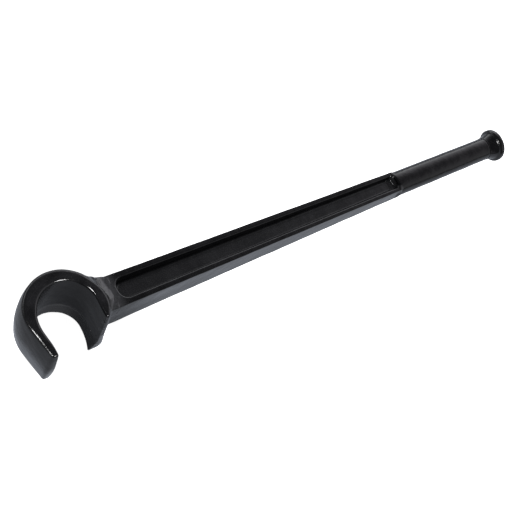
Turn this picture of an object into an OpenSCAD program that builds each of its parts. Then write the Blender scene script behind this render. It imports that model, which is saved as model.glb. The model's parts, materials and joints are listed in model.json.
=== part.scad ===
// Fire hydrant wrench: an open hook on a recessed arm, with a round grip bar and a flared end knob.
// The origin is the centre of the hook's bore at the wrench's mid-plane. +X runs along the arm to the
// knob, the hook's mouth opens towards -Y, and +Z is the bore's axis.

/* [Hook] */
// Diameter of the bore that closes round the hydrant's cap or nut
bore_d = 58; // [54:1:62]
// Outer diameter of the hook's ring at its widest
ring_d = 85; // [83:0.5:88]
// Height of the hook's top face above the mid-plane
hook_rise = 38; // [34:1:42]
// Depth of the hook's bottom face below the mid-plane
hook_drop = 32; // [30:1:34]
// Distance from the bore's centre to the tip of the long jaw
long_jaw = 40; // [37:0.5:43]
// Distance from the bore's centre to the end of the short jaw's foot
short_jaw = 25.5; // [23:0.5:27]
// Width of the inward lip at the foot of the bore
lip = 3.4; // [1.5:0.1:5]

/* [Arm] */
// Distance of the arm's centre line from the bore's axis
arm_offset = 6.2; // [4:0.2:8]
// Distance from the bore's axis to the arm's outer end
arm_end = 416; // [380:1:450]
// Width of the arm at the hook
root_w = 36; // [34:0.5:38]
// Width of the arm at the grip
end_w = 24.2; // [23:0.2:26]
// Thickness of the arm at the hook
root_t = 40; // [37:0.5:40]
// Thickness of the arm at the grip
end_t = 20.6; // [19:0.2:22]
// Width of the rail on each side of the recess, at the grip
rail_w = 5; // [4:0.2:6]

/* [Grip] */
// Length of the round grip
grip_l = 131; // [110:1:150]
// Diameter of the grip at the arm
grip_d = 26.8; // [26:0.1:28]
// Diameter of the grip at the knob
grip_tip_d = 25; // [24:0.1:26]
// Diameter of the knob's rim
knob_d = 36.8; // [35:0.2:40]
// Length of the knob
knob_l = 18; // [15:0.5:20]

/* [Hidden] */
$fn = 96;

black_paint = "#1c1d20";
weld_paint = "#26272b";

bore_r = bore_d / 2;
ring_r = ring_d / 2;
cut = 1;

// The ring's centre stands off the bore's, away from the arm and the mouth, so the wall is thickest there.
ring_x = -2.5;
ring_y = 3.1;
hook_h = hook_rise + hook_drop;
crown_z = 8;
crown_r = 180;
crown_fn = 720;
foot_bevel = 8;
lip_h = 15;
rim_bevel = 1.2;

// The long jaw tapers from the ring to a rounded tip.
tip_r = 5.9;
tip_inset = 3.4;
tip_x = -bore_r - tip_inset;
tip_y = -long_jaw + tip_r;
jaw_dx = tip_x - ring_x;
jaw_dy = tip_y - ring_y;
jaw_root_inset = 2.3;
jaw_root_r = ring_r - jaw_root_inset;
jaw_turn = atan2(jaw_dy, jaw_dx) - acos((jaw_root_r - tip_r) / norm([jaw_dx, jaw_dy]));
jaw_side = [cos(jaw_turn), sin(jaw_turn)];

// A shallow hollow in the long jaw's inner face, between the bore and the tip.
hollow_l = 24;
hollow_d = 2;
hollow_r = (pow(hollow_l / 2, 2) + pow(hollow_d, 2)) / (2 * hollow_d);

// The short jaw's outside is a cone that widens towards the foot, and its end leans back to the top.
heel_x = 14;
heel_y = -3;
heel_top_r = 25.5;
heel_foot_r = 31;
jaw_lean = 4;

// The arm's tongue fits a pocket in the ring's wall.
arm_root = ring_x + ring_r;
arm_inner_x = 10;
tongue_w = 14;
tongue_h = 20;
tongue_depth = 5.5;

recess_start = 59.5;
recess_end = arm_end - 7;
recess_r = 9;
web_share = 0.31;
rail_taper = 0.35;

root_leg = 8;
foot_leg = 1.5;
skirt_lap = 3;
side_leg = 6;
far_leg = 11;
near_leg = 4.2;
weld_inset = 0.5;

spigot_r = 5;
spigot_l = 5.5;
knob_spigot_r = 8;
knob_spigot_l = 10;
knob_round = 3;
knob_rim = 2;
bead_r = 1.2;
knob_bead_r = 0.6;
knob_x = arm_end + grip_l;

function arm_share(x) = (x - arm_root) / (arm_end - arm_root);
function arm_w(x) = root_w + (end_w - root_w) * arm_share(x);
function arm_t(x) = root_t + (end_t - root_t) * arm_share(x);
function rail(x) = rail_w * (1 + rail_taper * (1 - arm_share(x)));
function recess_w(x) = arm_w(x) - 2 * rail(x);

// ---- Hook ----

// The jaw narrows to its tip, whose outer corner is round and whose inner corner is square.
module long_jaw_outline() {
    polygon([
        [ring_x, ring_y],
        [ring_x, ring_y] + jaw_root_r * jaw_side,
        [tip_x, tip_y] + tip_r * jaw_side,
        [tip_x, tip_y],
        [tip_x, -long_jaw],
        [-bore_r, -long_jaw],
        [-bore_r, 0]
    ]);
    translate([tip_x, tip_y]) circle(tip_r);
}

// The ring's wall is crowned like a barrel and its foot edge is bevelled.
module ring_body() {
    translate([ring_x, ring_y, 0]) rotate_extrude() intersection() {
        translate([ring_r - crown_r, crown_z]) circle(crown_r, $fn = crown_fn);
        polygon([
            [0, -hook_drop],
            [jaw_root_r - foot_bevel, -hook_drop],
            [jaw_root_r + foot_bevel, -hook_drop + 2 * foot_bevel],
            [jaw_root_r + foot_bevel, hook_rise],
            [0, hook_rise]
        ]);
    }
}

// Bevels the long jaw's outer foot edge, along the line from the ring to the tip.
module long_jaw_foot_cutter() {
    start = [ring_x, ring_y] + jaw_root_r * jaw_side;
    translate([start[0], start[1], -hook_drop]) rotate([0, 0, jaw_turn]) rotate([90, 0, 0])
        linear_extrude(2 * long_jaw)
        polygon([[-2 * foot_bevel, -foot_bevel], [foot_bevel, -foot_bevel], [foot_bevel, 2 * foot_bevel]]);
}

module long_jaw_body() {
    difference() {
        translate([0, 0, -hook_drop]) linear_extrude(hook_h) long_jaw_outline();
        long_jaw_foot_cutter();
    }
}

module short_jaw_body() {
    intersection() {
        translate([heel_x, heel_y, 0]) rotate_extrude() polygon([
            [0, -hook_drop],
            [heel_foot_r - foot_bevel, -hook_drop],
            [heel_foot_r, foot_bevel - hook_drop],
            [heel_top_r, hook_rise],
            [0, hook_rise]
        ]);
        translate([0, -ring_r, -hook_h]) cube([ring_d, ring_r + ring_y, 2 * hook_h]);
    }
}

module hook_body() {
    ring_body();
    long_jaw_body();
    short_jaw_body();
}

// Everything beyond the short jaw's leaning end.
module short_jaw_end() {
    rotate([90, 0, 90]) linear_extrude(ring_d) polygon([
        [-short_jaw, -hook_drop],
        [-short_jaw, -hook_h],
        [-ring_d, -hook_h],
        [-ring_d, hook_h],
        [jaw_lean - short_jaw, hook_h],
        [jaw_lean - short_jaw, hook_rise]
    ]);
}

module jaw_hollow() {
    translate([hollow_r - bore_r - hollow_d, -hollow_l / 2, -hook_h]) intersection() {
        cylinder(h = 2 * hook_h, r = hollow_r);
        translate([-2 * hollow_r, -hollow_l / 2, 0]) cube([hollow_r, hollow_l, 2 * hook_h]);
    }
}

// The mouth between the jaws, with the lip at its foot.
module mouth() {
    lip_z = lip_h - hook_drop;
    rotate([90, 0, 0]) linear_extrude(2 * long_jaw) polygon([
        [-bore_r, hook_rise + cut],
        [-bore_r, lip_z],
        [-bore_r + lip, -hook_drop],
        [-bore_r + lip, -hook_drop - cut],
        [bore_r - lip, -hook_drop - cut],
        [bore_r - lip, -hook_drop],
        [bore_r, lip_z],
        [bore_r, hook_rise + cut]
    ]);
}

// Space inside the hook: the bore, its lip, its bevelled rim and the mouth.
module hook_space() {
    translate([0, 0, lip_h - hook_drop]) cylinder(h = hook_h, r = bore_r);
    translate([0, 0, -hook_drop]) cylinder(h = lip_h, r1 = bore_r - lip, r2 = bore_r);
    translate([0, 0, -hook_drop - cut]) cylinder(h = 2 * cut, r = bore_r - lip);
    translate([0, 0, hook_rise - rim_bevel])
        cylinder(h = rim_bevel + cut, r1 = bore_r, r2 = bore_r + rim_bevel + cut);
    mouth();
    jaw_hollow();
    short_jaw_end();
}

module hook_head() {
    color(black_paint) difference() {
        hook_body();
        hook_space();
        arm_tongue();
    }
}

// ---- Arm ----

module arm_tongue() {
    translate([arm_root - tongue_depth, arm_offset - tongue_w / 2, -tongue_h / 2])
        cube([2 * tongue_depth, tongue_w, tongue_h]);
}

// Outline of the arm seen from above, between two stations.
module arm_plan(from_x, to_x) {
    translate([0, arm_offset]) polygon([
        [from_x, -arm_w(from_x) / 2],
        [to_x, -arm_w(to_x) / 2],
        [to_x, arm_w(to_x) / 2],
        [from_x, arm_w(from_x) / 2]
    ]);
}

module recess_plan() {
    start_r = recess_w(recess_start + recess_r) / 2;
    end_r = recess_w(recess_end) / 2;
    translate([0, arm_offset]) {
        translate([recess_start + start_r, 0]) circle(start_r);
        polygon([
            [recess_start + start_r, -start_r],
            [recess_end, -end_r],
            [recess_end, end_r],
            [recess_start + start_r, start_r]
        ]);
    }
}

// A wedge through the arm's whole width, as thick as the given share of the arm.
module arm_side(share) {
    rotate([90, 0, 0]) linear_extrude(4 * root_w, center = true) polygon([
        [0, -arm_t(0) * share / 2],
        [arm_end, -arm_t(arm_end) * share / 2],
        [arm_end, arm_t(arm_end) * share / 2],
        [0, arm_t(0) * share / 2]
    ]);
}

module arm_body() {
    intersection() {
        translate([0, 0, -root_t]) linear_extrude(2 * root_t) difference() {
            arm_plan(arm_inner_x, arm_end);
            recess_plan();
        }
        arm_side(1);
    }
    intersection() {
        translate([0, 0, -root_t]) linear_extrude(2 * root_t) recess_plan();
        arm_side(web_share);
    }
}

module grip_spigot() {
    translate([arm_end - spigot_l, arm_offset, 0]) rotate([0, 90, 0])
        cylinder(h = 2 * spigot_l, r = spigot_r);
}

module arm() {
    color(black_paint) {
        difference() {
            arm_body();
            ring_body();
            short_jaw_body();
            grip_spigot();
        }
        difference() {
            arm_tongue();
            translate([arm_root + tongue_depth / 2, -root_w, -root_t]) cube(2 * root_t);
        }
    }
}

// ---- Weld between the hook and the arm ----

// Point a little past b on the line from a.
function past(a, b) = b + (b - a) / 4;

// Outline of the weld seen from above: a gusset on each side of the arm, both ending inside the hook.
module root_weld_plan() {
    toe_x = arm_root + root_leg;
    far_toe = [arm_root + side_leg, arm_offset + root_w / 2];
    far_end_x = arm_root - far_leg;
    far_end = [far_end_x, ring_y + sqrt(pow(ring_r, 2) - pow(far_end_x - ring_x, 2))];
    near_toe = [toe_x, arm_offset - root_w / 2];
    near_end = [arm_root - near_leg, near_toe[1] - side_leg];
    polygon([
        [0, arm_offset],
        past(far_toe, far_end),
        far_toe,
        [toe_x, arm_offset + arm_w(toe_x) / 2 - weld_inset],
        [toe_x, arm_offset - arm_w(toe_x) / 2 + weld_inset],
        near_toe,
        past(near_toe, near_end)
    ]);
}

// Sloping skirt round the ring, down onto the arm's top and up onto its underside.
module root_skirt() {
    face = root_t / 2;
    inner_r = ring_r - skirt_lap;
    outer_r = ring_r + root_leg + side_leg;
    translate([ring_x, ring_y, 0]) rotate_extrude() polygon([
        [0, -face - foot_leg - skirt_lap],
        [inner_r, -face - foot_leg - skirt_lap],
        [ring_r + foot_leg, -face],
        [outer_r, -face],
        [outer_r, face],
        [ring_r + root_leg, face],
        [inner_r, face + root_leg + skirt_lap],
        [0, face + root_leg + skirt_lap]
    ]);
}

module root_weld() {
    color(weld_paint) difference() {
        intersection() {
            linear_extrude(2 * root_t, center = true) root_weld_plan();
            root_skirt();
        }
        arm_body();
        hook_body();
    }
}

// ---- Grip, knob and their welds ----

module along_grip(x) {
    translate([x, arm_offset, 0]) rotate([0, 90, 0]) children();
}

module grip_core() {
    along_grip(arm_end) cylinder(h = grip_l, d1 = grip_d, d2 = grip_tip_d);
}

module knob_spigot() {
    along_grip(knob_x) cylinder(h = knob_spigot_l, r = knob_spigot_r);
}

module grip_bar() {
    color(black_paint) {
        grip_core();
        intersection() {
            grip_spigot();
            along_grip(arm_end - spigot_l) cylinder(h = spigot_l + cut, r = grip_d);
        }
        knob_spigot();
    }
}

// Ring of weld round the bar, half sunk in it.
module weld_ring(x, bar_r, r) {
    along_grip(x) rotate_extrude() translate([bar_r, 0]) circle(r, $fn = 32);
}

module grip_weld() {
    color(weld_paint) difference() {
        weld_ring(arm_end, grip_d / 2, bead_r);
        arm_body();
        grip_core();
    }
}

// Half section of the knob: the bar's line flares in a concave arc into a rounded rim.
module knob_half_section() {
    neck_r = grip_tip_d / 2;
    rim_centre = [knob_d / 2 - knob_round, knob_l - knob_round - knob_rim];
    step = neck_r - rim_centre[0];
    flare_r = (pow(step, 2) + pow(rim_centre[1], 2) - pow(knob_round, 2)) / (2 * (knob_round - step));
    difference() {
        polygon([[0, 0], [neck_r + flare_r, 0], rim_centre, [0, rim_centre[1]]]);
        translate([neck_r + flare_r, 0]) circle(flare_r);
    }
    translate(rim_centre) circle(knob_round);
    translate([rim_centre[0], knob_l - knob_round]) circle(knob_round);
    translate([0, rim_centre[1]]) square([knob_d / 2, knob_rim]);
    translate([0, rim_centre[1]]) square([rim_centre[0], knob_round + knob_rim]);
}

module end_knob() {
    color(black_paint) difference() {
        along_grip(knob_x) rotate_extrude() intersection() {
            knob_half_section();
            square([knob_d, knob_l]);
        }
        knob_spigot();
    }
}

module knob_weld() {
    color(weld_paint) difference() {
        weld_ring(knob_x, grip_tip_d / 2, knob_bead_r);
        grip_core();
        end_knob();
    }
}

hook_head();
arm();
root_weld();
grip_bar();
grip_weld();
end_knob();
knob_weld();
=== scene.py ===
"""Fire hydrant wrench: the finished surfaces, paint, floor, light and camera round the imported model.

The cast shapes are written as signed distances in millimetres: below zero is inside the metal, and
rounded edges and fillets are part of the distance. cast_mesh() turns a distance into a closed mesh.
The round grip and knob are turned from half profiles.
"""

import json
import math

import bpy
import numpy as np
from mathutils import Matrix, Vector

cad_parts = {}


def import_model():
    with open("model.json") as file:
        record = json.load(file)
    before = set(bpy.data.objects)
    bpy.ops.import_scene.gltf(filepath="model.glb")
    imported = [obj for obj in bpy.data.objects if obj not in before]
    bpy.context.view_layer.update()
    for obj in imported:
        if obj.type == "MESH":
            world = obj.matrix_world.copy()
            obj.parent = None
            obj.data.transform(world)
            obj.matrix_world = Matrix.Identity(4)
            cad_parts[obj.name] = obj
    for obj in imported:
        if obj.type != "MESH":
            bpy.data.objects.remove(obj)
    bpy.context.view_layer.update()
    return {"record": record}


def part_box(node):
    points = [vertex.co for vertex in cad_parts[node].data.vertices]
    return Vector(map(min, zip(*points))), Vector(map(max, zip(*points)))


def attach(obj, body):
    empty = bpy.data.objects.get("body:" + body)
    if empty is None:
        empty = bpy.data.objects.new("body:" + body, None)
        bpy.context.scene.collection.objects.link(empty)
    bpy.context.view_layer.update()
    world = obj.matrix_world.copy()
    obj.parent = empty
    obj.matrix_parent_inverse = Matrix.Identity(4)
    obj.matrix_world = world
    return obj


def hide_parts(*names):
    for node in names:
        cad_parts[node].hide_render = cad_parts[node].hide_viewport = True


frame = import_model()
MM = 0.001


def box_mm(node):
    """Lowest and highest corner of a CAD node, in millimetres."""
    low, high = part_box(node)
    return np.array(low) / MM, np.array(high) / MM


def mount(name):
    return next(m for m in frame["record"]["mounts"] if m["name"] == name)


# ---- Sizes, in millimetres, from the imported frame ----

hook_low, hook_high = box_mm("hook_head")
arm_high = box_mm("arm")[1]
grip_low, grip_high = box_mm("grip_bar")
knob_low, knob_high = box_mm("end_knob")

BORE_R = mount("hook_bore")["dims"]["r_mm"]
TOP = hook_high[2]
FOOT = hook_low[2]

# Depth that the cast surfaces are sunk below the CAD model's, to leave room for their unevenness.
SKIN = 0.22

# The hook. An EDGE is the radius that an edge is rounded to.
RING_X = -2.5
RING_R = RING_X - hook_low[0]
RING_Y = hook_high[1] - RING_R
RING_EDGE = 4.2
FOOT_EDGE = 5.0
FOOT_BAND = 12.0
FOOT_TAPER = 0.3
BORE_EDGE = 3.4
SMALL_EDGE = 1.2
RIM_DEPTH = 16.0
RIM_FULL = 6.0
RIM_FADE = 9.0
CROWN_Z = 8.0
CROWN_R = 180.0

TIP_R = 5.9
TIP_X = -BORE_R - 3.4
TIP_Y = hook_low[1] + TIP_R
TIP_EDGE = 1.6
TIP_TOP_EDGE = 2.2
TIP_TOP_START = -15.0
TIP_FOOT_EDGE = 4.0
LIP = 3.4
LIP_H = 15.0
LIP_CURVE = 1.25
LIP_DEEPEST = 1.2
LIP_FADE = 0.6
LIP_FADE_START = 0.2
LIP_FADE_TOWARD = (-0.77, 0.64)
LIP_GROWTH = 0.0105
LIP_GROWTH_START = -2.0
HOLLOW_Y = -5.0
HOLLOW_SPAN = 13.0
HOLLOW_DEPTH = 2.4

# The heel is the short jaw's outside. Its END is where the jaw is cut off, at the foot and at the top.
HEEL_X = 14.0
HEEL_Y = -3.0
HEEL_TOP_R = 25.5
HEEL_FOOT_R = 31.5
HEEL_TOP_END = -21.5
HEEL_FOOT_END = -25.5
HEEL_EDGE = 2.8
HEEL_BLEND = 5.0

# The arm.
ARM_Y = (grip_low[1] + grip_high[1]) / 2
ARM_ROOT = RING_X + RING_R
ARM_END = arm_high[0]
ARM_ROOT_HALF_W = 18.0
ARM_END_HALF_W = 12.1
ARM_ROOT_HALF_T = 20.0
ARM_END_HALF_T = 10.3
ARM_EDGE = 1.2
ARM_NOSE = 5.0
ARM_SINK = 5.0
SINK_EDGE = 1.0

RECESS_START = 59.5
RECESS_END = ARM_END - 3.0
RECESS_CORNER = 9.5
RECESS_EDGE = 2.0
RAIL_ROOT = 6.7
RAIL_END = 5.0
WEB_SHARE = 0.31
WALL_DRAFT = 0.14
FLOOR_FILLET = 3.0
END_SLOPE = 0.8

# The weld's fillet grows over two stretches of y: from the short jaw to the top, then to the far side.
# WELD_SINK is how far both welds lie under the pieces beside them, past their fillets. A weld's own waves
# are deeper than that, so it still comes through those surfaces in patches.
NEAR_FILLET = 6.0
TOP_FILLET = 15.0
FAR_FILLET = 20.0
TO_TOP = (-12.0, 2.0)
TO_FAR = (12.0, 25.0)
WELD_REACH = 18.0
WELD_TAIL = 8.0
WELD_DIVE = 0.15
WELD_SINK = 0.14
WELD_ABOVE_FOOT = 5.0

# The grip and the knob.
GRIP_R = (grip_high[2] - grip_low[2]) / 2
GRIP_TIP_R = 12.5
GRIP_SINK = 5.0
GRIP_NOSE = 2.5
GRIP_FILLET = 3.2
GRIP_WELD_REACH = 9.0
GRIP_RING_STEP = 2.0
SPIGOT_TAPER = 2.0
SPIGOT_INSET = 2.0
SPIGOT_LENGTH = 8.0
KNOB_X = knob_low[0]
KNOB_END = knob_high[0]
KNOB_R = (knob_high[2] - knob_low[2]) / 2
KNOB_ROUND = 3.0
KNOB_RIM = 2.0
KNOB_FLARE = 1.3
KNOB_NECK_INSET = 0.1
FLARE_STEP = 0.07
END_LAND = 2.0
END_BEVEL = 6.0
END_BEVEL_DEPTH = 0.8
END_DISH = 1.0
BEAD_R = 0.75
BEAD_SINK = 0.25


# ---- Distances ----

def round_max(a, b, r):
    """Where both shapes are, with the edge between them rounded to radius r."""
    return np.minimum(np.maximum(a, b), -r) + np.hypot(np.maximum(a + r, 0), np.maximum(b + r, 0))


def round_min(a, b, r):
    """Where either shape is, with the corner between them filled by a fillet of radius r."""
    return np.maximum(np.minimum(a, b), r) - np.hypot(np.maximum(r - a, 0), np.maximum(r - b, 0))


def smooth_step(value, start, end):
    t = np.clip((value - start) / (end - start), 0, 1)
    return t * t * (3 - 2 * t)


def ring_and_jaw(x, y):
    """Outline of the ring drawn out to the long jaw's tip: the hull of two circles and a square corner."""
    run = np.array([TIP_X - RING_X, TIP_Y - RING_Y])
    length = np.hypot(*run)
    u = run / length
    along = (x - RING_X) * u[0] + (y - RING_Y) * u[1]
    across = np.abs((x - RING_X) * u[1] - (y - RING_Y) * u[0])
    lean = (RING_R - TIP_R) / length
    slope = math.sqrt(1 - lean * lean)
    side = slope * along - lean * across
    tangent = slope * across + lean * along - RING_R
    ring = np.hypot(across, along) - RING_R
    tip = np.hypot(across, along - length) - TIP_R
    outline = np.where(side < 0, ring, np.where(side > slope * length, tip, tangent))
    corner = np.maximum(np.maximum(TIP_X - x, x), np.maximum(TIP_Y - TIP_R - y, y))
    return np.minimum(outline, corner)


def share_up(z):
    return (z - FOOT) / (TOP - FOOT)


def heel(x, y, z):
    """The short jaw's outside: a cone that widens towards the foot."""
    radius = HEEL_FOOT_R + (HEEL_TOP_R - HEEL_FOOT_R) * share_up(z)
    return round_max(np.hypot(x - HEEL_X, y - HEEL_Y) - radius, FOOT - z, FOOT_EDGE)


def bore(x, y, z):
    """The bore and the mouth, narrowed by the lip at the foot and hollowed along the long jaw.

    The lip widens towards the short jaw's end and narrows towards the long jaw's root.
    """
    depth = np.clip((FOOT + LIP_H - z) / LIP_H, 0, LIP_DEEPEST)
    to_root = (LIP_FADE_TOWARD[1] * y + LIP_FADE_TOWARD[0] * x) / np.maximum(np.hypot(x, y), 1.0)
    lip = LIP * (1 - LIP_FADE * smooth_step(to_root, LIP_FADE_START, 1.0))
    lip = lip + LIP_GROWTH * np.maximum(LIP_GROWTH_START - y, 0) ** 2 * (x > 0)
    hollow = HOLLOW_DEPTH * np.exp(-((y - HOLLOW_Y) / HOLLOW_SPAN) ** 2) * (x < 0)
    radius = BORE_R - lip * depth ** LIP_CURVE + hollow
    return np.where(y < 0, np.abs(x), np.hypot(x, y)) - radius


def hook(x, y, z):
    """The crowned ring with both jaws, cut by the bore. The bore's rim is rounder at the top of the ring."""
    crown = (z - CROWN_Z) ** 2 / (2 * CROWN_R)
    taper = FOOT_TAPER * np.maximum(FOOT + FOOT_BAND - z, 0)
    ring = round_max(ring_and_jaw(x, y) + crown + taper, FOOT - z, FOOT_EDGE)
    body = round_min(ring, heel(x, y, z), HEEL_BLEND)
    to_tip = smooth_step(y, TIP_TOP_START, TIP_Y - TIP_R) * (x < 0)
    body = round_max(np.maximum(body, FOOT - z), z - TOP, RING_EDGE + (TIP_TOP_EDGE - RING_EDGE) * to_tip)
    short_end = HEEL_FOOT_END + (HEEL_TOP_END - HEEL_FOOT_END) * share_up(z) - y
    long_end = round_max(TIP_Y - TIP_R + crown - y, FOOT - z, TIP_FOOT_EDGE)
    body = round_max(body, np.where(x > 0, short_end, long_end), np.where(x > 0, HEEL_EDGE, TIP_EDGE))
    high = smooth_step(z, TOP - RIM_DEPTH, TOP - RIM_FULL)
    rim = high * smooth_step(y, HEEL_FOOT_END - RIM_FADE, HEEL_FOOT_END + RIM_FADE)
    return round_max(body, -bore(x, y, z), SMALL_EDGE + (BORE_EDGE - SMALL_EDGE) * rim)


def arm_share(x):
    return (x - ARM_ROOT) / (ARM_END - ARM_ROOT)


def half_width(x):
    return ARM_ROOT_HALF_W + (ARM_END_HALF_W - ARM_ROOT_HALF_W) * arm_share(x)


def half_thickness(x):
    return ARM_ROOT_HALF_T + (ARM_END_HALF_T - ARM_ROOT_HALF_T) * arm_share(x)


def recess(x, y, z):
    """The pocket on each face, with a rounded start, drafted walls and a filleted floor."""
    rail = RAIL_ROOT + (RAIL_END - RAIL_ROOT) * arm_share(x)
    aside = np.abs(y - ARM_Y) - (half_width(x) - rail) + RECESS_CORNER
    before = RECESS_START + RECESS_CORNER - x
    corner = np.hypot(np.maximum(aside, 0), np.maximum(before, 0))
    plan = corner + np.minimum(np.maximum(aside, before), 0) - RECESS_CORNER
    walls = plan + WALL_DRAFT * (half_thickness(x) - np.abs(z))
    end = x - RECESS_END + END_SLOPE * (half_thickness(x) - np.abs(z))
    walls = round_max(walls, end / math.hypot(1, END_SLOPE), FLOOR_FILLET)
    return round_max(walls, half_thickness(x) * WEB_SHARE - np.abs(z), FLOOR_FILLET)


def inside_ring(x, y):
    """Above zero deep inside the ring's wall, where the arm and the weld end out of sight."""
    return RING_R - ARM_SINK - np.hypot(x - RING_X, y - RING_Y)


def arm_bar(x, y, z):
    """The tapering bar before its recesses are taken out."""
    bar = round_max(np.abs(y - ARM_Y) - half_width(x), np.abs(z) - half_thickness(x), ARM_EDGE)
    return round_max(bar, inside_ring(x, y), SINK_EDGE)


def arm(x, y, z):
    ended = round_max(arm_bar(x, y, z), x - ARM_END, ARM_NOSE)
    return round_max(ended, -recess(x, y, z), RECESS_EDGE)


def grip(x, y, z):
    across = np.hypot(y - ARM_Y, z)
    radius = GRIP_R + (GRIP_TIP_R - GRIP_R) * (x - ARM_END) / (KNOB_X - ARM_END)
    return round_max(across - radius, ARM_END - GRIP_SINK - x, GRIP_NOSE)


def root_weld(x, y, z):
    """The filled corner between hook and arm. It grows from the short jaw to the far side."""
    to_top = smooth_step(y, *TO_TOP)
    to_far = smooth_step(y, *TO_FAR)
    radius = NEAR_FILLET + (TOP_FILLET - NEAR_FILLET) * to_top + (FAR_FILLET - TOP_FILLET) * to_far
    sink = WELD_SINK + WELD_DIVE * np.maximum(x - ARM_ROOT - WELD_REACH, 0)
    filled = round_min(hook(x, y, z) + WELD_SINK, arm(x, y, z) + sink, radius)
    ends = np.maximum(inside_ring(x, y), x - ARM_ROOT - WELD_REACH - WELD_TAIL)
    ends = np.maximum(ends, FOOT + WELD_ABOVE_FOOT - z)
    return round_max(round_max(filled, ends, SINK_EDGE), z - TOP + WELD_SINK, RING_EDGE)


def grip_weld(x, y, z):
    filled = round_min(arm(x, y, z) + WELD_SINK, grip(x, y, z) + WELD_SINK, GRIP_FILLET)
    return round_max(filled, np.abs(x - ARM_END) - GRIP_WELD_REACH, SINK_EDGE)


# ---- Meshes ----

CAST_WAVES = ((55.0, 0.10), (31.0, 0.07), (17.0, 0.045), (9.0, 0.02))
WELD_WAVES = CAST_WAVES + ((8.0, 0.20), (5.0, 0.12))
WAVES_EACH = 4
WAVE_SEED = 7
SETTLE_PASSES = 3
LONGEST_MOVE = 0.4
LEAST_SLOPE = 0.25


def waviness(points, waves=CAST_WAVES):
    """Slow unevenness under the paint, in millimetres, from (wavelength, depth) pairs."""
    rng = np.random.default_rng(WAVE_SEED)
    out = np.zeros(len(points))
    for wavelength, depth in waves:
        for _ in range(WAVES_EACH):
            direction = rng.normal(size=3)
            direction /= np.linalg.norm(direction)
            phase = rng.uniform(0, 2 * math.pi)
            out += depth / 2 * np.sin(points @ direction * 2 * math.pi / wavelength + phase)
    return out


def spaced(low, high, step):
    return np.linspace(low, high, int(math.ceil((high - low) / step)) + 1)


def crossing_cells(field, grid):
    """Surface nets: one vertex in each cell the surface crosses, and one quad for each crossed edge."""
    shape = np.array(field.shape) - 1
    total = np.zeros((3, shape.prod()))
    count = np.zeros(shape.prod())
    quads = []
    for axis in range(3):
        one, two = [a for a in range(3) if a != axis]
        near = np.take(field, range(shape[axis]), axis)
        far = np.take(field, range(1, shape[axis] + 1), axis)
        at = np.argwhere((near < 0) != (far < 0))
        at = at[(at[:, one] > 0) & (at[:, two] > 0) & (at[:, one] < shape[one]) & (at[:, two] < shape[two])]
        a = near[tuple(at.T)]
        b = far[tuple(at.T)]
        share = a / (a - b)
        point = [grid[k][at[:, k]] for k in range(3)]
        point[axis] = point[axis] + share * (grid[axis][at[:, axis] + 1] - grid[axis][at[:, axis]])
        ring = []
        for back_one, back_two in ((1, 1), (0, 1), (0, 0), (1, 0)):
            cell = at.copy()
            cell[:, one] -= back_one
            cell[:, two] -= back_two
            index = np.ravel_multi_index(tuple(cell.T), tuple(shape))
            ring.append(index)
            count += np.bincount(index, minlength=len(count))
            for k in range(3):
                total[k] += np.bincount(index, weights=point[k], minlength=len(count))
        ring = np.array(ring).T
        flip = (a < 0) == (axis == 1)
        ring[flip] = ring[flip][:, ::-1]
        quads.append(ring)
    used = np.flatnonzero(count)
    place = np.full(len(count), -1)
    place[used] = np.arange(len(used))
    return (total[:, used] / count[used]).T, place[np.concatenate(quads)]


def slope_of(distance, points, step=0.02):
    """Gradient of a distance at each point."""
    out = np.empty_like(points)
    for k in range(3):
        shift = np.zeros(3)
        shift[k] = step
        out[:, k] = (distance(*(points + shift).T) - distance(*(points - shift).T)) / (2 * step)
    return out


def make_piece(name, points, faces, normals=None):
    """A closed smooth mesh object from points in millimetres."""
    mesh = bpy.data.meshes.new(name)
    mesh.from_pydata((points * MM).tolist(), [], faces)
    mesh.validate()
    mesh.shade_smooth()
    if normals is not None:
        mesh.normals_split_custom_set_from_vertices(normals.tolist())
    piece = bpy.data.objects.new(name, mesh)
    bpy.context.scene.collection.objects.link(piece)
    return piece


def cast_mesh(name, distance, grid, waves=CAST_WAVES, painted_light=None):
    """A mesh of the surface where the distance, uneven as a casting is, crosses zero.

    The last argument gives the share of lighter paint at each point, which the enamel reads: painted
    highlights, reflections and sheen.
    """
    field = distance(*np.meshgrid(*grid, indexing="ij"))
    points, faces = crossing_cells(field, grid)

    def uneven(x, y, z):
        return distance(x, y, z) + waviness(np.stack([x, y, z], axis=1), waves) + SKIN

    for _ in range(SETTLE_PASSES):
        slope = slope_of(uneven, points)
        steep = np.maximum((slope ** 2).sum(1), LEAST_SLOPE)
        move = slope * (uneven(*points.T) / steep)[:, None]
        points = points - np.clip(move, -LONGEST_MOVE, LONGEST_MOVE)
    slope = slope_of(uneven, points)
    normals = slope / np.linalg.norm(slope, axis=1)[:, None]
    piece = make_piece(name, points, faces.tolist(), normals)
    if painted_light is not None:
        thin = piece.data.attributes.new("painted_light", "FLOAT", "POINT")
        thin.data.foreach_set("value", painted_light(*points.T))
    return piece


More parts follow.
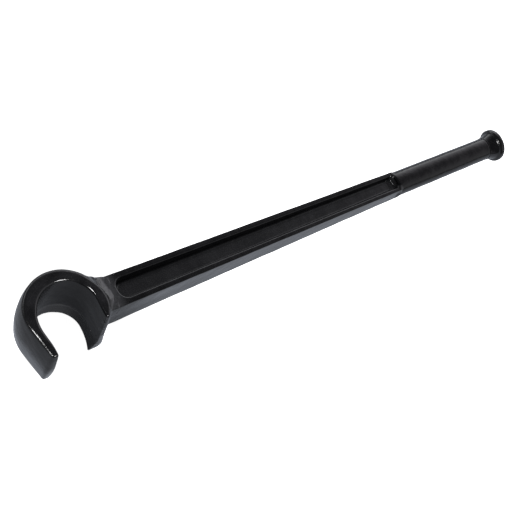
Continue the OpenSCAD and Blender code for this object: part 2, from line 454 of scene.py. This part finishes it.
def turned_mesh(name, profile, segments=144):
    """A solid turned round the grip's axis from (x, radius) points that start and end on the axis."""
    profile = np.array(profile)
    inner = profile[1:-1]
    turn = np.linspace(0, 2 * math.pi, segments, endpoint=False)
    x = np.repeat(inner[:, :1], segments, axis=1)
    y = ARM_Y + inner[:, 1:] * np.cos(turn)
    z = inner[:, 1:] * np.sin(turn)
    rings = np.stack([x, y, z], axis=2)
    facing = np.stack([np.zeros_like(x), np.cos(turn) + 0 * x, np.sin(turn) + 0 * x], axis=2)
    flat = rings.reshape(-1, 3)
    flat = flat - facing.reshape(-1, 3) * waviness(flat)[:, None]
    ends = [[profile[0, 0], ARM_Y, 0], [profile[-1, 0], ARM_Y, 0]]
    points = np.concatenate([flat, ends])
    faces = []
    for ring in range(len(inner) - 1):
        for k in range(segments):
            nxt = (k + 1) % segments
            low = ring * segments
            high = low + segments
            faces.append([low + k, low + nxt, high + nxt, high + k])
    last = (len(inner) - 1) * segments
    for k in range(segments):
        nxt = (k + 1) % segments
        faces.append([len(flat), nxt, k])
        faces.append([len(flat) + 1, last + k, last + nxt])
    return make_piece(name, points, faces)


def arc(centre, radius, start, end, steps):
    """Points on an arc, angles in degrees, centre and points as (x, radius)."""
    angles = np.radians(np.linspace(start, end, steps))
    return [(centre[0] + radius * math.cos(a), centre[1] + radius * math.sin(a)) for a in angles]


# ---- Painted light: lighter paint for highlights, reflections and sheen ----

# Painted light: lighter paint that stands in for reflections, highlights and sheen on the hook and the arm.
LIP_PAINTED_REFLECTION = 0.2
LIP_FACE = (1.5, -0.5)
LIP_PAINTED_HIGHLIGHT = 0.3
LIP_LINE_BELOW = 1.0
LIP_LINE_SPREAD = 1.5
LIP_REFLECTION_FADE = 3.0
FOOT_REFLECTION_FADE = 6.0
FOOT_FROM_BORE = (3.0, 5.0)
END_PAINTED_LIGHT = 0.2
ROOT_PAINTED_SHEEN = 0.3
ROOT_SHEEN_END = RECESS_START + 6.0
ROOT_SHEEN_FULL = RECESS_START - 8.0
ARM_TOP_EDGE = (17.0, 19.0)
RECESS_FLOOR_LIGHT = 0.08
RECESS_FLOOR_LIGHT_FULL = 0.5
WELD_TOE = (24.0, 20.5)


def hook_painted_light(x, y, z):
    """Painted reflections on the lip and round the foot, a painted highlight along the lip's top edge, and
    painted light on the short jaw's end.
    """
    from_bore = np.hypot(x, np.maximum(y, 0)) - BORE_R
    # Painted highlight along the lip's upper edge, over a painted reflection on the lip below it.
    line = LIP_PAINTED_HIGHLIGHT * np.exp(-((z - FOOT - LIP_H + LIP_LINE_BELOW) / LIP_LINE_SPREAD) ** 2)
    line = line + LIP_PAINTED_REFLECTION * smooth_step(z, FOOT + LIP_H, FOOT + LIP_H - LIP_REFLECTION_FADE)
    lip = smooth_step(from_bore, *LIP_FACE) * line
    # Painted reflection round the foot.
    low = smooth_step(z, FOOT + FOOT_BAND, FOOT + FOOT_BAND - FOOT_REFLECTION_FADE)
    foot = smooth_step(from_bore, *FOOT_FROM_BORE) * low
    # Painted light on the short jaw's end.
    end = END_PAINTED_LIGHT * smooth_step(y, HEEL_TOP_END, HEEL_FOOT_END) * (x > 0)
    return np.clip(lip + foot + end, 0, 1)


def arm_painted_light(x, y, z):
    """Painted sheen on the arm's top beside the hook, and a little painted light on the recess floor."""
    # Painted sheen on the arm's top beside the hook.
    root = ROOT_PAINTED_SHEEN * smooth_step(x, ROOT_SHEEN_END, ROOT_SHEEN_FULL) * smooth_step(z, *ARM_TOP_EDGE)
    # A little painted light on the recess floor.
    floor_z = half_thickness(x) * WEB_SHARE
    return root + RECESS_FLOOR_LIGHT * smooth_step(np.abs(z), floor_z + FLOOR_FILLET, floor_z + RECESS_FLOOR_LIGHT_FULL)


def root_weld_painted_light(x, y, z):
    """The weld's toe on the arm's top carries the same painted sheen as the arm beside it."""
    return arm_painted_light(x, y, z) * smooth_step(z, *WELD_TOE)


# ---- The pieces ----

# Sizes of the cells that the cast shapes are meshed in. The arm's straight middle needs few along it.
HOOK_CELL = 0.75
ARM_CELL = 0.6
MIDDLE_CELL = 2.5
GRIP_WELD_CELL = 0.45
MIDDLE_START = RECESS_START + 16.0
MIDDLE_END = RECESS_END - 12.0

# How far the grids reach past the shapes, and how far from the root the arm and its weld start in the ring.
MARGIN = 1.5
WELD_MARGIN = 1.0
ARM_BURIED = 14.0
WELD_BURIED = 22.0
WELD_PAST_REACH = 9.5
ARM_GRID_HALF_Y = 20.0
ARM_GRID_HALF_Z = 22.5
GRIP_WELD_GRID_X = 11.0
GRIP_WELD_GRID_R = 16.0


def hook_piece():
    grid = [spaced(hook_low[k] - MARGIN, hook_high[k] + MARGIN, HOOK_CELL) for k in range(3)]
    return cast_mesh("hook_head", hook, grid, painted_light=hook_painted_light)


def arm_piece():
    root = spaced(ARM_ROOT - ARM_BURIED, MIDDLE_START, HOOK_CELL)
    middle = spaced(MIDDLE_START, MIDDLE_END, MIDDLE_CELL)
    tail = spaced(MIDDLE_END, ARM_END + MARGIN, ARM_CELL)
    along = np.concatenate([root, middle[1:], tail[1:]])
    across = spaced(ARM_Y - ARM_GRID_HALF_Y, ARM_Y + ARM_GRID_HALF_Y, ARM_CELL)
    up = spaced(-ARM_GRID_HALF_Z, ARM_GRID_HALF_Z, ARM_CELL)
    return cast_mesh("arm", arm, [along, across, up], painted_light=arm_painted_light)


def root_weld_piece():
    grid = [
        spaced(ARM_ROOT - WELD_BURIED, ARM_ROOT + WELD_REACH + WELD_PAST_REACH, HOOK_CELL),
        spaced(HEEL_FOOT_END - WELD_MARGIN, hook_high[1] + WELD_MARGIN, HOOK_CELL),
        spaced(FOOT - WELD_MARGIN, TOP + WELD_MARGIN, HOOK_CELL),
    ]
    return cast_mesh("root_weld", root_weld, grid, WELD_WAVES, root_weld_painted_light)


def grip_weld_piece():
    grid = [
        spaced(ARM_END - GRIP_WELD_GRID_X, ARM_END + GRIP_WELD_GRID_X, GRIP_WELD_CELL),
        spaced(ARM_Y - GRIP_WELD_GRID_R, ARM_Y + GRIP_WELD_GRID_R, GRIP_WELD_CELL),
        spaced(-GRIP_WELD_GRID_R, GRIP_WELD_GRID_R, GRIP_WELD_CELL),
    ]
    return cast_mesh("grip_weld", grip_weld, grid, WELD_WAVES)


def grip_profile():
    """The tapering bar, with a rounded start inside the arm and a narrower spigot in the knob."""
    start = ARM_END - GRIP_SINK
    points = [(start, 0), (start, GRIP_R - GRIP_NOSE)]
    points += arc((start + GRIP_NOSE, GRIP_R - GRIP_NOSE), GRIP_NOSE, start=180, end=90, steps=9)[1:]
    for x in spaced(start + GRIP_NOSE + GRIP_RING_STEP, KNOB_X, GRIP_RING_STEP):
        share = (x - ARM_END) / (KNOB_X - ARM_END)
        points.append((x, GRIP_R + (GRIP_TIP_R - GRIP_R) * max(share, 0)))
    spigot_r = GRIP_TIP_R - SPIGOT_INSET
    spigot_end = KNOB_X + SPIGOT_LENGTH
    return points + [(KNOB_X + SPIGOT_TAPER, spigot_r), (spigot_end, spigot_r), (spigot_end, 0)]


def knob_profile():
    """The bar's line flares steeply into a thick rounded rim with a slightly dished end."""
    neck = GRIP_TIP_R - KNOB_NECK_INSET
    rim_start = KNOB_END - KNOB_RIM - 2 * KNOB_ROUND
    rim_line = KNOB_R - KNOB_ROUND
    points = [(KNOB_X, 0), (KNOB_X, neck)]
    for t in spaced(0, 1, FLARE_STEP)[1:]:
        points.append((KNOB_X + t * (rim_start - KNOB_X), neck + (rim_line - neck) * t ** KNOB_FLARE))
    points += arc((rim_start + KNOB_ROUND, rim_line), KNOB_ROUND, start=150, end=90, steps=8)
    points += arc((KNOB_END - KNOB_ROUND, rim_line), KNOB_ROUND, start=90, end=0, steps=9)
    points += [(KNOB_END, rim_line - END_LAND), (KNOB_END - END_BEVEL_DEPTH, rim_line - END_BEVEL)]
    return points + [(KNOB_END - END_DISH, 0)]


def bead_profile():
    ring = arc((KNOB_X, GRIP_TIP_R - BEAD_SINK), BEAD_R, start=180, end=0, steps=11)
    return [(KNOB_X - BEAD_R, 0)] + ring + [(KNOB_X + BEAD_R, 0)]


# ---- Paint and paper ----

class Shading:
    """Short forms for the nodes of one material or world. Every input is a socket or a plain value."""

    def __init__(self, owner, coordinates):
        owner.use_nodes = True
        self.nodes = owner.node_tree.nodes
        self.links = owner.node_tree.links
        self.place = self.nodes.new("ShaderNodeTexCoord").outputs[coordinates]

    def put(self, value, socket):
        if isinstance(value, bpy.types.NodeSocket):
            self.links.new(value, socket)
        else:
            socket.default_value = value

    def noise(self, scale, detail, roughness=0.5):
        node = self.nodes.new("ShaderNodeTexNoise")
        self.put(self.place, node.inputs["Vector"])
        self.put(scale, node.inputs["Scale"])
        self.put(detail, node.inputs["Detail"])
        self.put(roughness, node.inputs["Roughness"])
        return node.outputs["Fac"]

    def ranged(self, value, low, high, to_low=0.0, to_high=1.0, curve="LINEAR"):
        node = self.nodes.new("ShaderNodeMapRange")
        node.interpolation_type = curve
        self.put(value, node.inputs["Value"])
        self.put(low, node.inputs["From Min"])
        self.put(high, node.inputs["From Max"])
        self.put(to_low, node.inputs["To Min"])
        self.put(to_high, node.inputs["To Max"])
        return node.outputs["Result"]

    def eased(self, value, low, high):
        return self.ranged(value, low, high, curve="SMOOTHSTEP")

    def mix(self, share, a, b):
        node = self.nodes.new("ShaderNodeMix")
        node.data_type = "RGBA"
        self.put(share, node.inputs["Factor"])
        self.put(a, node.inputs["A"])
        self.put(b, node.inputs["B"])
        return node.outputs["Result"]

    def math(self, operation, a, b=None):
        node = self.nodes.new("ShaderNodeMath")
        node.operation = operation
        self.put(a, node.inputs[0])
        if b is not None:
            self.put(b, node.inputs[1])
        return node.outputs["Value"]

    def compared(self, operation, vector):
        """The distance or dot product between the place being shaded and a fixed vector."""
        node = self.nodes.new("ShaderNodeVectorMath")
        node.operation = operation
        self.put(self.place, node.inputs[0])
        self.put(vector, node.inputs[1])
        return node.outputs["Value"]

    def split(self):
        node = self.nodes.new("ShaderNodeSeparateXYZ")
        self.put(self.place, node.inputs["Vector"])
        return node.outputs["X"], node.outputs["Y"], node.outputs["Z"]

    def bump(self, height, depth):
        node = self.nodes.new("ShaderNodeBump")
        self.put(height, node.inputs["Height"])
        self.put(1.0, node.inputs["Strength"])
        self.put(depth, node.inputs["Distance"])
        return node


def grey(level):
    return (level, level, level, 1)


def opaque(colour, share=1.0):
    return (*[c * share for c in colour], 1)


BLACK = (0.0045, 0.0045, 0.005)
WELD_BLACK = (0.005, 0.005, 0.0055)
# Painted light: the lighter colour that the enamel takes where highlights, reflections and sheen are painted
# in.
PAINTED_LIGHT_COLOUR = (0.11, 0.112, 0.12)
MOTTLE_SCALE = 70
MOTTLE_SPREAD = (0.35, 0.65)
DARK_SHARE = 0.75
LIGHT_SHARE = 1.5
GLOSS_SCALE = 45
GLOSS_SPREAD = (0.3, 0.7)
GLOSS_RANGE = (0.11, 0.22)
PEEL_SCALE = 700
PEEL_DEPTH = 0.00004
CASTING_SCALE = 160
CASTING_DEPTH = 0.00025
WELD_DEPTH = 0.0004


def enamel(name, tint, depth):
    """Glossy black enamel. depth is that of the casting's roughness under the paint, in metres."""
    material = bpy.data.materials.new(name)
    draw = Shading(material, "Object")
    shader = draw.nodes["Principled BSDF"]
    mottle = draw.ranged(draw.noise(MOTTLE_SCALE, detail=4), *MOTTLE_SPREAD)
    full_paint = draw.mix(mottle, opaque(tint, DARK_SHARE), opaque(tint, LIGHT_SHARE))
    # Painted highlights, reflections and sheen: the mesh attribute mixes the lighter colour into the paint.
    painted_light = draw.nodes.new("ShaderNodeAttribute")
    painted_light.attribute_name = "painted_light"
    draw.put(draw.mix(painted_light.outputs["Fac"], full_paint, opaque(PAINTED_LIGHT_COLOUR)), shader.inputs["Base Color"])
    gloss = draw.ranged(draw.noise(GLOSS_SCALE, detail=5, roughness=0.6), *GLOSS_SPREAD, *GLOSS_RANGE)
    draw.put(gloss, shader.inputs["Roughness"])
    draw.put(1.5, shader.inputs["IOR"])

    peel = draw.bump(draw.noise(PEEL_SCALE, detail=2), PEEL_DEPTH)
    casting = draw.bump(draw.noise(CASTING_SCALE, detail=5, roughness=0.55), depth)
    draw.put(peel.outputs["Normal"], casting.inputs["Normal"])
    draw.put(casting.outputs["Normal"], shader.inputs["Normal"])
    return material


# Places and distances on the paper, in metres from the arm's root, and the strength of its reflection.
# PAPER_FULL and PAPER_DARK are distances across the wrench and along it.
HOOK_ON_PAPER = (-0.0425, -0.004, 0.0)
REFLECTED_BASE = 0.12
SEEN_BASE = 0.2
REFLECTED_GLOW = (0.22, 0.235, 0.265)
SEEN_GLOW = 0.95
PAPER_FULL = (0.07, 0.75)
PAPER_DARK = (0.22, 1.1)
FOOT_LIT = (0.047, 0.062)
BORE_SHADED = (0.030, 0.040)
ARM_LIT = (0.09, 0.02)
PLAIN_STRENGTH = 1.0
BORE_SHADE = 1.55


def paper():
    """White paper. The camera sees it evenly white, and the enamel reflects it darker and a little blue.

    In reflections it is brightest beside the arm and the hook's foot, dim inside the bore, and fades to
    dark away from the wrench.
    """
    material = bpy.data.materials.new("floor")
    draw = Shading(material, "Object")
    shader = draw.nodes["Principled BSDF"]
    by_camera = draw.nodes.new("ShaderNodeLightPath").outputs["Is Camera Ray"]
    draw.put(draw.mix(by_camera, grey(REFLECTED_BASE), grey(SEEN_BASE)), shader.inputs["Base Color"])
    draw.put(draw.mix(by_camera, opaque(REFLECTED_GLOW), grey(SEEN_GLOW)), shader.inputs["Emission Color"])
    draw.put(0.9, shader.inputs["Roughness"])
    draw.put(0.0, shader.inputs["Specular IOR Level"])

    # The glow seen in reflections is painted: painted light beside the arm and the hook's foot, painted shade
    # inside the bore, fading away from the wrench.
    x, y, _ = draw.split()
    along = draw.eased(draw.math("ABSOLUTE", x), PAPER_DARK[1], PAPER_FULL[1])
    aside = draw.eased(draw.math("ABSOLUTE", y), PAPER_DARK[0], PAPER_FULL[0])
    from_hook = draw.compared("DISTANCE", HOOK_ON_PAPER)
    by_foot = draw.eased(from_hook, FOOT_LIT[1], FOOT_LIT[0])
    in_bore = draw.eased(from_hook, BORE_SHADED[1], BORE_SHADED[0])
    by_arm = draw.eased(x, ARM_LIT[1], ARM_LIT[0])
    strength = draw.math("ADD", draw.math("ADD", by_foot, by_arm), PLAIN_STRENGTH)
    strength = draw.math("SUBTRACT", strength, draw.math("MULTIPLY", in_bore, BORE_SHADE))
    strength = draw.math("MULTIPLY", draw.math("MULTIPLY", aside, along), strength)
    draw.put(draw.math("MAXIMUM", strength, by_camera), shader.inputs["Emission Strength"])
    return material


# ---- Floor, light and camera ----

FLOOR_GAP = 0.2
FLOOR_SIZE = 12


def floor():
    """The paper under the wrench, tipped so that it touches both the hook's foot and the knob's rim."""
    bpy.ops.mesh.primitive_plane_add(size=FLOOR_SIZE)
    plane = bpy.context.active_object
    plane.name = "floor"
    rise = (knob_low[2] - FOOT) / (KNOB_END - ARM_ROOT)
    plane.rotation_euler = (0, -math.atan(rise), 0)
    plane.location = (ARM_ROOT * MM, 0, (FOOT - FLOOR_GAP) * MM)
    plane.data.materials.append(paper())


def toward(azimuth, elevation):
    """Unit vector at an azimuth and elevation in degrees."""
    a = math.radians(azimuth)
    e = math.radians(elevation)
    return Vector((math.cos(e) * math.cos(a), math.cos(e) * math.sin(a), math.sin(e)))


def soft_light(name, azimuth, elevation, distance, size, power, in_reflections=True, only=()):
    """A round light aimed at the wrench, in degrees, metres and watts.

    only names the pieces it reaches, if not all of them.
    """
    light = bpy.data.lights.new(name, "AREA")
    light.shape = "DISK"
    light.size = size
    light.energy = power
    lamp = bpy.data.objects.new(name, light)
    lamp.location = AIM + toward(azimuth, elevation) * distance
    lamp.rotation_euler = (AIM - lamp.location).to_track_quat("-Z", "Y").to_euler()
    lamp.visible_glossy = in_reflections
    bpy.context.scene.collection.objects.link(lamp)
    if only:
        reached = bpy.data.collections.new(name + "_reaches")
        for node in only:
            reached.objects.link(bpy.data.objects[node + "_painted"])
        lamp.light_linking.receiver_collection = reached


OVERHEAD = (0.05, 0.05, 0.055)
GLOW_FULL = 0.93


def world():
    """Dark overhead, with soft glows lower down towards +X, between +X and -Y, and towards +Y."""
    sky = bpy.data.worlds.new("studio")
    bpy.context.scene.world = sky
    draw = Shading(sky, "Generated")
    height = draw.split()[2]

    def glow(under, heading, edge, dark_above, full_below, colour):
        """Adds light round a level heading, fading with height between two sines of elevation."""
        facing = draw.eased(draw.compared("DOT_PRODUCT", heading), edge, GLOW_FULL)
        low_down = draw.eased(height, dark_above, full_below)
        return draw.mix(draw.math("MULTIPLY", facing, low_down), under, opaque(colour))

    light = opaque(OVERHEAD)
    light = glow(light, (0.96, 0.28, 0), edge=0.1, dark_above=0.98, full_below=0.35, colour=(1.25, 1.22, 1.3))
    light = glow(light, (0.80, -0.60, 0), edge=0.65, dark_above=0.75, full_below=0.3, colour=(0.5, 0.5, 0.52))
    light = glow(light, (0.25, 0.97, 0), edge=0.1, dark_above=0.45, full_below=0.1, colour=(1.8, 1.85, 1.9))
    background = draw.nodes["Background"]
    draw.put(light, background.inputs["Color"])
    draw.put(1.0, background.inputs["Strength"])


AZIMUTH = 208.37
ELEVATION = 58.2
ROLL = math.radians(35.32)
CAMERA_DISTANCE = 1.311
LENS_MM = 90
SENSOR_MM = 36
LENS_SHIFT = 0.0017
AIM = Vector((0.218, -0.009, 0.0))


def camera():
    lens = bpy.data.cameras.new("camera")
    lens.lens = LENS_MM
    lens.sensor_width = SENSOR_MM
    lens.shift_y = LENS_SHIFT
    away = toward(AZIMUTH, ELEVATION)
    level = (-away).cross(Vector((0, 0, 1))).normalized()
    upright = level.cross(-away)
    right = level * math.cos(ROLL) + upright * math.sin(ROLL)
    up = upright * math.cos(ROLL) - level * math.sin(ROLL)
    view = Matrix((right, up, away)).transposed().to_4x4()
    view.translation = AIM + away * CAMERA_DISTANCE
    eye = bpy.data.objects.new("camera", lens)
    eye.matrix_world = view
    bpy.context.scene.collection.objects.link(eye)
    bpy.context.scene.camera = eye


# ---- Build ----

paint = enamel("black_enamel", BLACK, CASTING_DEPTH)
weld_paint = enamel("black_enamel_over_weld", WELD_BLACK, WELD_DEPTH)

PIECES = [
    (hook_piece(), "hook_head", "enamel", paint),
    (arm_piece(), "arm", "enamel", paint),
    (root_weld_piece(), "root_weld", "enamel_over_weld", weld_paint),
    (grip_weld_piece(), "grip_weld", "enamel_over_weld", weld_paint),
    (turned_mesh("grip_bar", grip_profile()), "grip_bar", "enamel", paint),
    (turned_mesh("end_knob", knob_profile()), "end_knob", "enamel", paint),
    (turned_mesh("knob_weld", bead_profile()), "knob_weld", "enamel_over_weld", weld_paint),
]
for piece, node, slot, material in PIECES:
    piece.name = node + "_painted"
    piece.data.materials.append(material)
    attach(piece, "root")
    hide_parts(node)

floor()
world()
camera()
soft_light("left", azimuth=-176, elevation=30, distance=2.0, size=0.5, power=26,
           only=("hook_head", "root_weld", "grip_weld", "end_knob"))
soft_light("front", azimuth=-90, elevation=30, distance=2.2, size=0.8, power=55,
           only=("hook_head", "grip_weld"))
soft_light("overhead", azimuth=60, elevation=80, distance=2.5, size=2.5, power=52, in_reflections=False)
bpy.context.scene.view_settings.view_transform = "Standard"
